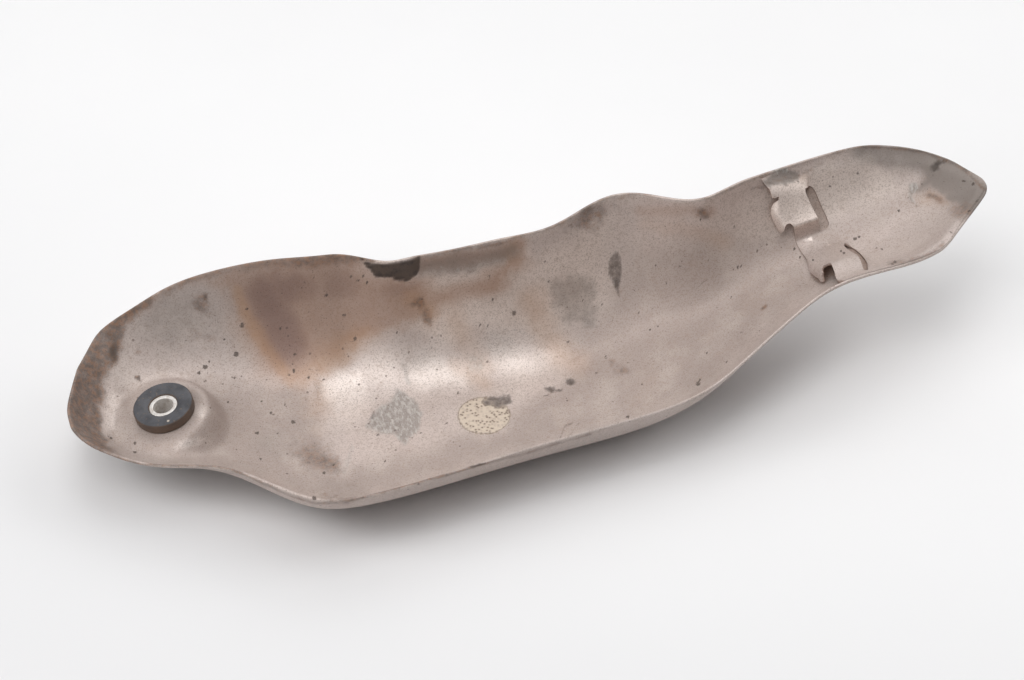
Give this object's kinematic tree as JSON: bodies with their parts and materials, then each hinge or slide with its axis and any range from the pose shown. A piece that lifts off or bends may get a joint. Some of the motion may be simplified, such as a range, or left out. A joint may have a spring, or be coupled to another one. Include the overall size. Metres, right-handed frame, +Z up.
{
  "type": "heat shield",
  "caption": "Pressed sheet-metal heat shield like a long shallow trough, with a raised boss holding a rubber grommet and sleeve at one end and clip loops in the lined tail at the other.",
  "frame": {"origin": "middle of the bottom of the bounding box", "axes": "+X along the shield from the boss end to the tail, +Y across it towards the higher rim, +Z up out of the hollow; the shield lies on its convex side"},
  "size_m": [0.3069, 0.1018, 0.0546],
  "materials": {
    "shell_sheet": "dull, heat tinted, rust spotted",
    "tail_sheet": "dull, heat tinted, rust spotted",
    "grommet_rubber": "matte, dusty",
    "sleeve_metal": "worn, bright"
  },
  "bodies": {
    "root": {"shield_shell": "shell_sheet", "tail_plate": "tail_sheet", "rubber_grommet": "grommet_rubber", "spacer_sleeve": "sleeve_metal"}
  },
  "joints": []
}
